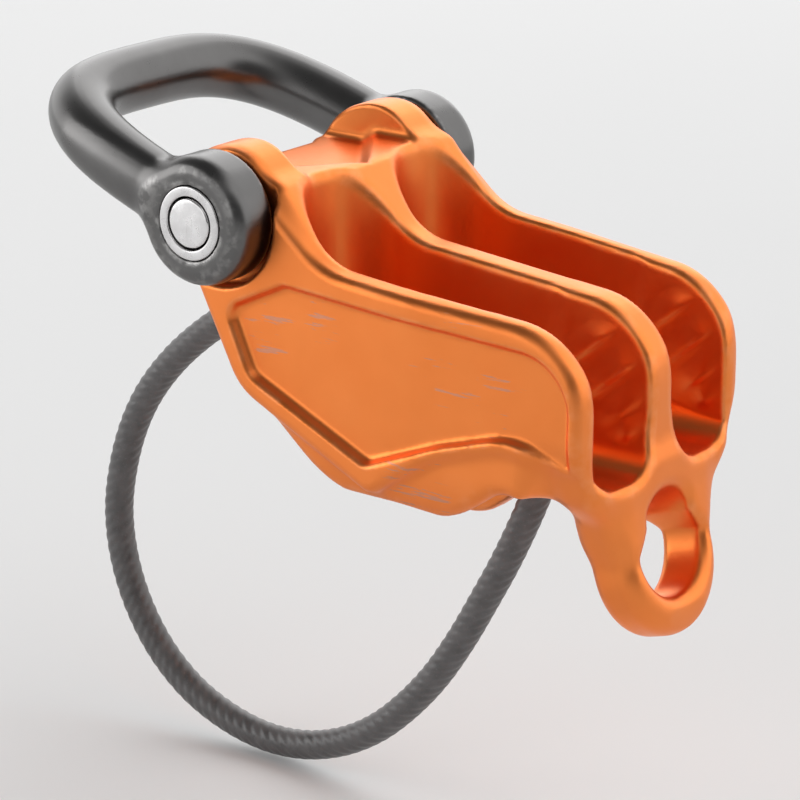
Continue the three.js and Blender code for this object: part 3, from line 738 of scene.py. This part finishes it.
def anodised_grey():
    s = Shader("anodised_grey", Metallic=1.0)
    clouds = s.noise(0.3, 4)
    colour = s.mix(s.levels(clouds, 0.3, 0.7), (0.135, 0.132, 0.13, 1), (0.15, 0.147, 0.145, 1))
    # Painted highlight: convex edges (the edge attribute) are lightened to a pale grey, in patches set by
    # noise
    painted_rim_highlight = s.math("MULTIPLY", s.levels(s.attribute("edge"), 0.6, 1.6), s.levels(s.noise(0.9, 5), 0.45, 0.65))
    colour = s.mix(s.math("MULTIPLY", painted_rim_highlight, 0.5), colour, (0.5, 0.49, 0.48, 1))
    s.drive("Base Color", colour)
    grain = s.noise(5.0, 2)
    s.drive("Roughness", s.levels(s.weighted(clouds, grain, 0.4), 0.3, 0.7, 0.27, 0.3))
    s.drive("Normal", s.bump(grain, 0.08, 0.02, s.bump(s.noise(0.35, 2), 0.05, 0.1)))
    return s.material


def turned_steel(name, tint=(0.74, 0.73, 0.73, 1), low=0.16, high=0.32):
    s = Shader(name, Metallic=1.0)
    clouds = s.noise(0.8, 4)
    colour = s.mix(s.levels(clouds, 0.3, 0.7), tint, tuple(min(1, 1.12 * c) for c in tint))
    scratch = s.levels(s.noise(2.2, 5, (3.2, 1, 0.25), (0, math.radians(35), 0)), 0.62, 0.7)
    s.drive("Base Color", s.mix(s.math("MULTIPLY", scratch, 0.3), colour, (0.4, 0.39, 0.38, 1)))
    s.drive("Roughness", s.levels(clouds, 0.3, 0.7, low, high))
    s.drive("Normal", s.bump(s.noise(6.0, 3), 0.12, 0.02))
    return s.material


def cable_sheath():
    s = Shader("cable_sheath", Metallic=0.0, IOR=1.5)
    clouds = s.noise(0.6, 4)
    colour = s.mix(s.levels(clouds, 0.3, 0.7), (0.085, 0.082, 0.082, 1), (0.125, 0.12, 0.12, 1))
    s.drive("Base Color", s.mix(s.levels(s.noise(4, 3), 0.6, 0.75, 0, 0.4), colour, (0.2, 0.195, 0.195, 1)))
    s.drive("Roughness", s.levels(clouds, 0.3, 0.7, 0.3, 0.45))
    s.drive("Normal", s.bump(s.noise(3.0, 3), 0.2, 0.03))
    return s.material


def give(piece, material):
    piece.data.materials.clear()
    piece.data.materials.append(material)
    return piece


# ---------------------------------------------------------------- studio
def make_floor(half=3.0, gap=0.4 * MM, grey=0.86):
    low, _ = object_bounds()
    z = low[2] - gap
    corners = [(-half, -half, z), (half, -half, z), (half, half, z), (-half, half, z)]
    floor = add_mesh("floor", corners, [(0, 1, 2, 3)])
    s = Shader("floor_paper", Roughness=0.9)
    s.drive("Base Color", s.mix(s.noise(0.01, 3), (grey,) * 3 + (1,), (grey * 0.98,) * 3 + (1,)))
    give(floor, s.material)


TENT_STRENGTH = 1.36
# Directions of the studio's dark sides, with the cosines where each starts and is full, and its depth.
DARK_SIDES = (
    ((-0.35, -0.35, 0.87), 0.5, 0.9, 0.9),
    ((0.72, -0.62, 0.05), 0.6, 0.9, 0.88),
)


def add_area(name, place, size, watts):
    """A square lamp that faces the row's origin."""
    data = bpy.data.lights.new(name, "AREA")
    data.shape, data.size, data.energy = "SQUARE", size, watts
    lamp = bpy.data.objects.new(name, data)
    lamp.location = place
    lamp.rotation_mode = "QUATERNION"
    lamp.rotation_quaternion = (-Vector(place)).to_track_quat("-Z", "Y")
    bpy.context.scene.collection.objects.link(lamp)


def falloff(nodes, links, direction, axis, start, end):
    """0 to 1 as a world direction turns towards an axis, between two cosines."""
    dot = nodes.new("ShaderNodeVectorMath")
    dot.operation = "DOT_PRODUCT"
    links.new(direction, dot.inputs[0])
    dot.inputs[1].default_value = Vector(axis).normalized()
    ramp = nodes.new("ShaderNodeMapRange")
    ramp.interpolation_type = "SMOOTHSTEP"
    links.new(dot.outputs["Value"], ramp.inputs["Value"])
    ramp.inputs["From Min"].default_value, ramp.inputs["From Max"].default_value = start, end
    return ramp.outputs[0]


def make_light():
    """A white tent with an open dark side towards the front and a dark ceiling in front of it."""
    scene = bpy.context.scene
    scene.view_settings.view_transform = "Standard"
    world = bpy.data.worlds.new("studio")
    scene.world = world
    world.use_nodes = True
    nodes, links = world.node_tree.nodes, world.node_tree.links
    direction = nodes.new("ShaderNodeTexCoord").outputs["Generated"]
    level = None
    for axis, start, end, depth in DARK_SIDES:
        share = nodes.new("ShaderNodeMath")
        share.operation = "MULTIPLY_ADD"
        links.new(falloff(nodes, links, direction, axis, start, end), share.inputs[0])
        share.inputs[1].default_value, share.inputs[2].default_value = -depth, 1.0
        if level is None:
            level = share.outputs[0]
            continue
        product = nodes.new("ShaderNodeMath")
        product.operation = "MULTIPLY"
        links.new(level, product.inputs[0])
        links.new(share.outputs[0], product.inputs[1])
        level = product.outputs[0]
    background = nodes["Background"]
    background.inputs["Color"].default_value = (1, 1, 1, 1)
    strength = nodes.new("ShaderNodeMath")
    strength.operation = "MULTIPLY"
    links.new(level, strength.inputs[0])
    strength.inputs[1].default_value = TENT_STRENGTH
    links.new(strength.outputs[0], background.inputs["Strength"])
    add_area("back", (-0.35, 0.6, 0.45), 0.7, 1.2)
    add_area("left", (-0.7, -0.5, 0.25), 0.6, 2.0)


# ---------------------------------------------------------------- assembly
def stand_in(piece, node, body, material):
    give(piece, material)
    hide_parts(node)
    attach(piece, body)


make_camera()
stand_in(cable_piece(), "keeper_cable", "device", cable_sheath())
stand_in(body_piece(), "body", "device", anodised_orange())
stand_in(bow_piece(), "bow", "swivel", anodised_grey())
pin_steel = turned_steel("pin_steel")
bush_steel = turned_steel("bush_steel", (0.66, 0.65, 0.65, 1), 0.2, 0.35)
for word, side in (("left", 1), ("right", -1)):
    stand_in(pin_piece(word, side), f"pivot_pin_{word}", "device", pin_steel)
    stand_in(bush_piece(word, side), f"pivot_bush_{word}", "swivel", bush_steel)
give(frame["nodes"]["keeper_core"], turned_steel("wire_rope_steel", (0.5, 0.5, 0.5, 1), 0.35, 0.5))
ferrule_steel = turned_steel("ferrule_steel", (0.6, 0.6, 0.6, 1), 0.25, 0.4)
for end in ("rear", "front"):
    give(frame["nodes"][f"cable_ferrule_{end}"], ferrule_steel)
make_floor()
make_light()
